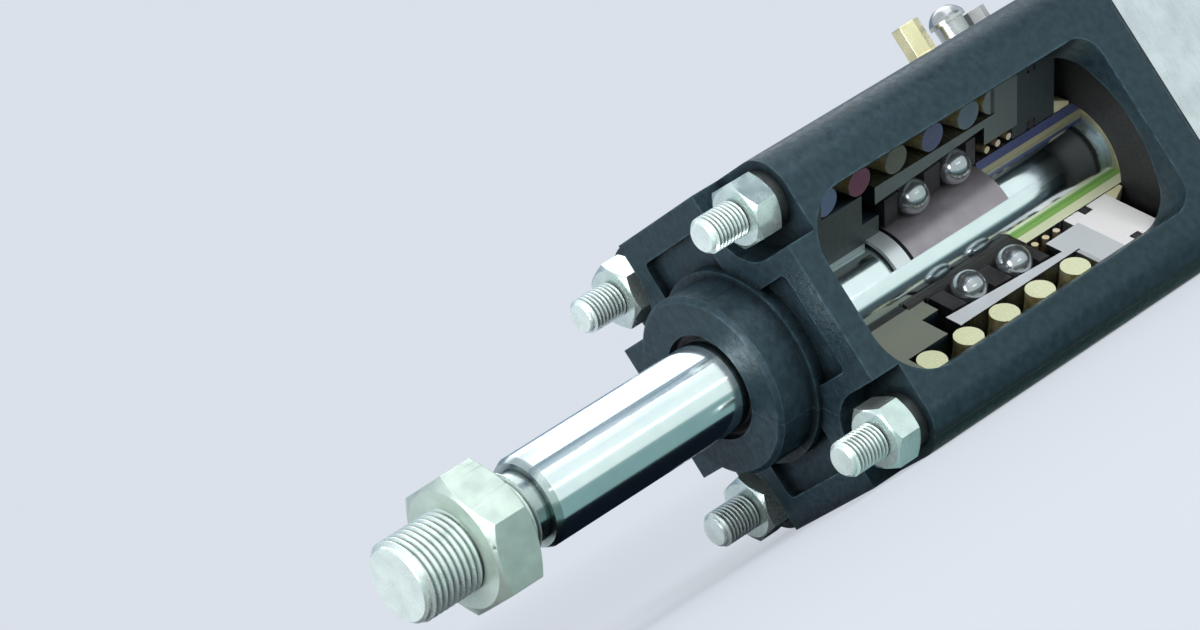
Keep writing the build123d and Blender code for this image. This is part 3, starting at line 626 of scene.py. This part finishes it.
def machined(name, color, roughness=0.3, upper=None, lower=None, metallic=1.0, lines=(1, 40, 40)):
    """Bare metal: tool lines drawn out by lines along X, Y and Z, stains, and the given colours on its cut
    faces above and below the axis, which for some pieces are painted shade and painted light.
    """
    material, tree, shader = new_material(name, color, metallic, roughness)
    tool_lines = grain(tree, 0.3, 2.0, lines)
    surface = blend_color(tree, clouds(tree, 5.0), color, toned(color, 0.86))
    gloss = span(tree, tool_lines, 0.3, 0.7, roughness - 0.06, roughness + 0.08)
    if upper:
        on_upper, on_lower = cut_faces(tree)
        surface = blend_color(tree, on_upper, surface, upper)
        surface = blend_color(tree, on_lower, surface, lower)
        flat = calc(tree, "MAXIMUM", on_upper, on_lower)
        sawn_roughness = 0.45
        duller = calc(tree, "MULTIPLY", flat, max(0.0, sawn_roughness - roughness))
        gloss = calc(tree, "ADD", gloss, duller)
        tree.links.new(span(tree, flat, 0.0, 1.0, metallic, metallic * 0.35), shader.inputs["Metallic"])
    tree.links.new(surface, shader.inputs["Base Color"])
    tree.links.new(gloss, shader.inputs["Roughness"])
    add_bump(tree, shader, tool_lines, 0.004, 0.5)
    return material


sleeve, tree, shader = new_material("hard_steel", holder_color, 0.6, 0.36)
is_collar = calc(tree, "LESS_THAN", place_along(tree)[0], collar_end * mm)
satin = blend_color(tree, clouds(tree, 4.0), holder_color, toned(holder_color, 0.85))
satin = blend_color(tree, is_collar, satin, collar_color)
on_upper, on_lower = cut_faces(tree)
satin = blend_color(tree, on_lower, satin, holder_cut)
tree.links.new(satin, shader.inputs["Base Color"])
ground = grain(tree, 0.3, 2.0, (1, 30, 30))
vary_gloss(tree, shader, ground, 0.3, 0.42)
add_bump(tree, shader, ground, 0.004, 0.5)
dress(sleeve, "brake_shoe_holder")
dress(machined("shoe_iron", shoe_color, 0.5, shoe_color, shoe_cut), "brake_shoe")
dress(machined("dark_steel", (0.02, 0.02, 0.022), 0.4), "holder_ring")

# The bushes round the rod and the piston guide: bronze-backed plain bearings in the cover's nose
# and in the steel guide tube behind the shoe, on which the release piston slides.
bush_cuts = ((0.36, 0.33, 0.20), (0.21, 0.41, 0.09))
front_bush_cuts = ((0.30, 0.36, 0.36), (0.006, 0.006, 0.006))
# The guide's cut faces are painted dark blue above the axis as shade and pale yellow below it as if lit.
guide_cuts = ((0.075, 0.090, 0.215), (0.72, 0.76, 0.52))
dress(machined("bush_bronze", (0.42, 0.38, 0.24), 0.35, *bush_cuts, 0.6), "guide_bushing")
dress(machined("front_bush", (0.30, 0.34, 0.33), 0.35, *front_bush_cuts), "rod_bushing")
dress(machined("guide_steel", (0.46, 0.50, 0.52), 0.25, *guide_cuts), "piston_guide")

# The ball wedge: two rows of bearing balls in a pocketed resin retainer, between the holder's cone
# and the taper ring. A light spring behind the retainer keeps it against the balls. The cutaway has
# taken the stretch between cut_turns, counted from +Y, out of each of its turns.
preload_mean_r = 15.6
preload_wire_r = 0.8
preload_ends = (70.3, 82.2)
preload_turns = 3
preload_sides = 16
preload_tones = ((0.70, 0.60, 0.36), (0.72, 0.62, 0.46))
preload_start_turn = 0.5
cut_turns = (0.375, 0.625)
kept_turn = 1 - (cut_turns[1] - cut_turns[0])
dress(plated("ball_steel", (0.46, 0.49, 0.51), 0.16, 0.9, 1.2, 0.002), "front_ball_row", "rear_ball_row")
dress(moulded("black_resin", (0.010, 0.009, 0.011), 0.45), "ball_retainer")


def add_coil(bm, x_start, pitch, turns, mean_r, wire_r, ends, first_turn=cut_turns[1], sides=24):
    """Part of a coil round X, from a turn counted from +Y. Its sections lie in planes through X."""
    steps_per_turn = 72
    rings = []
    count = max(6, round(steps_per_turn * turns))
    for k in range(count + 1):
        share = turns * k / count
        row = []
        for j in range(sides):
            t = 2 * math.pi * j / sides
            x = min(max(x_start + pitch * share + wire_r * math.cos(t), ends[0]), ends[1])
            r = mean_r + wire_r * math.sin(t)
            row.append(add_point(bm, x, r, first_turn + share, on_axis))
        rings.append(row)
    for first, second in zip(rings, rings[1:]):
        for j in range(sides):
            bm.faces.new((first[j], first[(j + 1) % sides], second[(j + 1) % sides], second[j]))
    for row, material_number in ((rings[0], 1), (rings[-1], 2)):
        bm.faces.new(row).material_index = material_number


def spring_wire(name, color, other_color, roughness):
    """Drawn spring wire: two tones of lacquer in long patches, with a fine drawn grain."""
    material, tree, shader = new_material(name, color, 0.85, roughness)
    patches = span(tree, grain(tree, 2.2, 3.0), 0.38, 0.62)
    tree.links.new(blend_color(tree, patches, color, other_color), shader.inputs["Base Color"])
    drawn = grain(tree, 0.35, 2.0)
    vary_gloss(tree, shader, drawn, roughness - 0.05, roughness + 0.12)
    add_bump(tree, shader, drawn, 0.008, 0.6)
    return material


def cut_wire(name, tones, ends):
    """Sawn wire ends, each spring turn a slightly different tone along X."""
    material, tree, shader = new_material(name, tones[0], 0.2, 0.5)
    ramp = tree.nodes.new("ShaderNodeValToRGB")
    ramp.color_ramp.interpolation = "CONSTANT"
    elements = ramp.color_ramp.elements
    elements[0].color = (*tones[0], 1)
    elements[1].position = 1 / len(tones)
    elements[1].color = (*tones[1], 1)
    for number, tone in enumerate(tones[2:], 2):
        elements.new(number / len(tones)).color = (*tone, 1)
    tree.links.new(span(tree, place_along(tree)[0], ends[0] * mm, ends[1] * mm), ramp.inputs[0])
    sawn = grain(tree, 0.5, 3.0)
    dull = calc(tree, "MULTIPLY", span(tree, sawn, 0.3, 0.7), 0.25)
    tree.links.new(blend_color(tree, dull, ramp.outputs[0], (0.25, 0.25, 0.22)), shader.inputs["Base Color"])
    vary_gloss(tree, shader, sawn, 0.42, 0.58)
    add_bump(tree, shader, sawn, 0.01, 0.4)
    return material


preload_wire = spring_wire("preload_wire", (0.66, 0.50, 0.24), (0.70, 0.58, 0.46), 0.3)
preload_cut = cut_wire("preload_cut", preload_tones, preload_ends)
preload_pitch = (preload_ends[1] - preload_ends[0] - 2 * preload_wire_r) / preload_turns
first_lead = cut_turns[1] - preload_start_turn
bm = bmesh.new()
for turn in range(preload_turns):
    add_coil(bm, preload_ends[0] + preload_wire_r + (turn + first_lead) * preload_pitch, preload_pitch,
             kept_turn, preload_mean_r, preload_wire_r, preload_ends, sides=preload_sides)
preload = make_piece("preload_coil", bm, "ball_cage", preload_wire, preload_cut, preload_cut)
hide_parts("retainer_spring")
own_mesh(preload)

# The lock release group: a hardened taper ring and a cast release piston, pressed together, with a
# urethane bumper behind them and a thrust seat for the brake spring on the ring's flange.
# The cut faces of the taper ring, the release piston and the seat are painted darker above the axis as shade
# and paler below it as if lit.
ring_cuts = ((0.130, 0.160, 0.155), (0.58, 0.62, 0.65))
piston_cuts = ((0.045, 0.060, 0.066), (0.88, 0.88, 0.88))
seat_cuts = ((0.06, 0.07, 0.07), (0.45, 0.48, 0.50))
dress(machined("ring_steel", (0.34, 0.36, 0.36), 0.3, *ring_cuts), "taper_ring")
dress(machined("piston_casting", (0.40, 0.43, 0.43), 0.4, *piston_cuts), "release_piston")
dress(machined("seat_steel", (0.45, 0.47, 0.48), 0.35, *seat_cuts), "spring_seat")
dress(moulded("cream_urethane", (0.62, 0.58, 0.36), 0.45, 0.1), "hub_bumper")

# The brake spring: heavy round wire with closed, ground ends, lacquered gold. The cutaway has sawn
# through every turn twice. The sawn ends above the axis are painted dark as shade, in reflection
# tones that change from turn to turn, and those below it are painted pale as if lit.
brake_mean_r = 27.15
brake_wire_r = 3.25
brake_ends = ends_of("brake_spring")
brake_open_pitch = 11.1
brake_closed_pitch = 6.7
brake_first_x = 26.6
brake_open_turns = 4
brake_tail_turns = 0.55
brake_upper_span = (19.5, 81.0)
# Painted shade in reflection tones on the upper sawn ends, painted light on the lower ones.
brake_upper_shade_tones = ((0.090, 0.15, 0.27), (0.130, 0.022, 0.066), (0.080, 0.095, 0.070),
                     (0.054, 0.075, 0.170), (0.075, 0.13, 0.17), (0.120, 0.15, 0.15))
brake_lower_lit_tones = ((0.74, 0.78, 0.50), (0.70, 0.74, 0.48), (0.74, 0.78, 0.52))
brake_wire = spring_wire("spring_gold", (0.62, 0.50, 0.18), (0.82, 0.80, 0.56), 0.34)
brake_upper_cut = cut_wire("brake_upper_cut", brake_upper_shade_tones, brake_upper_span)
brake_lower_cut = cut_wire("brake_lower_cut", brake_lower_lit_tones, brake_ends)
tail_x = brake_first_x - brake_closed_pitch * (1 - kept_turn + brake_tail_turns)
bm = bmesh.new()
add_coil(bm, tail_x, brake_closed_pitch, brake_tail_turns, brake_mean_r, brake_wire_r, brake_ends,
         cut_turns[0] - brake_tail_turns)
for turn in range(brake_open_turns):
    add_coil(bm, brake_first_x + turn * brake_open_pitch, brake_open_pitch, kept_turn, brake_mean_r,
             brake_wire_r, brake_ends)
add_coil(bm, brake_first_x + brake_open_turns * brake_open_pitch, brake_closed_pitch, kept_turn, brake_mean_r,
         brake_wire_r, brake_ends)
brake_coil = make_piece("brake_coil", bm, "housing", brake_wire, brake_lower_cut, brake_upper_cut)
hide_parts("brake_spring")
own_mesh(brake_coil)

# Behind the lock: the intermediate cover, a machined aluminium block with the rod seal and the front
# port, the aluminium tube, and the black rubber bumper that the release piston rests against. The
# bumper's black disc also stands for the shade on the cover's end wall behind the cutaway.
dress(machined("bare_aluminium", (0.70, 0.74, 0.76), 0.3, lines=(1, 12, 12)), "intermediate_cover")
dress(machined("tube_aluminium", (0.60, 0.64, 0.66), 0.36, lines=(60, 1, 1)), "cylinder_tube")
# Black rubber, which also stands for painted shade on the end wall.
dress(moulded("bumper_rubber_and_shade", (0.007, 0.007, 0.008), 0.6, 0.08), "end_bumper")

# The fittings on top: a brass breather with a sintered bronze element, the resin plug of the release
# port, and the plated unlocking cam with its washer and snap ring. The cushion needles sit in brass.
breather_edge = 0.25
dress(plated("brass_fitting", (0.80, 0.75, 0.46), 0.28, 0.8, 2.0, 0.003), "breather_body", "needle_rings")
round_edges(breather_edge, "breather_body")
dress(moulded("sintered_bronze", (0.36, 0.26, 0.12), 0.6, 0.2, 0.35), "breather_element")
dress(moulded("plug_grey", (0.34, 0.36, 0.36), 0.4, 0.2), "release_port_plug")
dress(plated("cam_plate", (0.55, 0.57, 0.56), 0.25), "unlocking_cam", "cam_retaining_ring")
dress(plated("cam_washer_plate", (0.45, 0.46, 0.44), 0.3), "cam_washer")
dress(plated("needle_plate", (0.5, 0.52, 0.52), 0.3), "front_cushion_needle", "rear_cushion_needle")

# The piston: an aluminium disc on the rod's spigot between two steel cushion rings, with a lip seal
# and a resin wear ring. It is hidden in the tube.
dress(machined("piston_aluminium", (0.62, 0.64, 0.65), 0.35), "piston")
dress(moulded("wear_resin", (0.10, 0.07, 0.05), 0.5), "wear_ring")
dress(machined("cushion_steel", (0.50, 0.52, 0.53), 0.25), "front_cushion_ring", "rear_cushion_ring")
